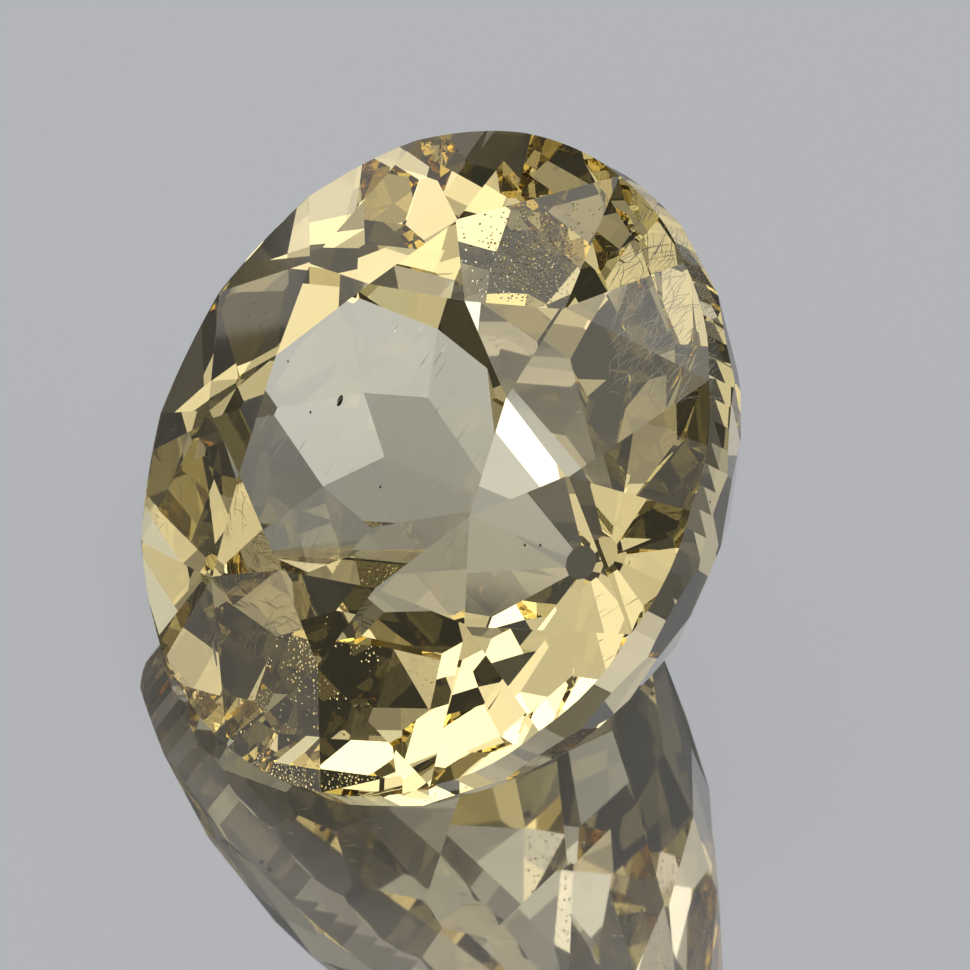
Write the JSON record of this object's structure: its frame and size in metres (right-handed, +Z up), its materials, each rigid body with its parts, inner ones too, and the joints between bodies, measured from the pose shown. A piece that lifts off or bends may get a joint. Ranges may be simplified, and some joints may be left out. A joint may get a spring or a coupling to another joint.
{
  "type": "faceted diaspore gemstone",
  "caption": "Near-round faceted gemstone, see-through champagne to olive, with an eight-sided brilliant crown over an eleven-sided pavilion, lying tilted on one facet of its pavilion.",
  "frame": {"origin": "on the surface that the stone lies on, under the middle of its box", "axes": "+Z up, away from the pavilion facet that it rests on; the table leans toward -X and -Y"},
  "size_m": [0.0086, 0.0096, 0.0076],
  "materials": {
    "diaspore": "polished see-through crystal, champagne to olive, index of refraction about 1.72"
  },
  "bodies": {
    "root": {"diaspore_gem": "diaspore"}
  },
  "joints": []
}
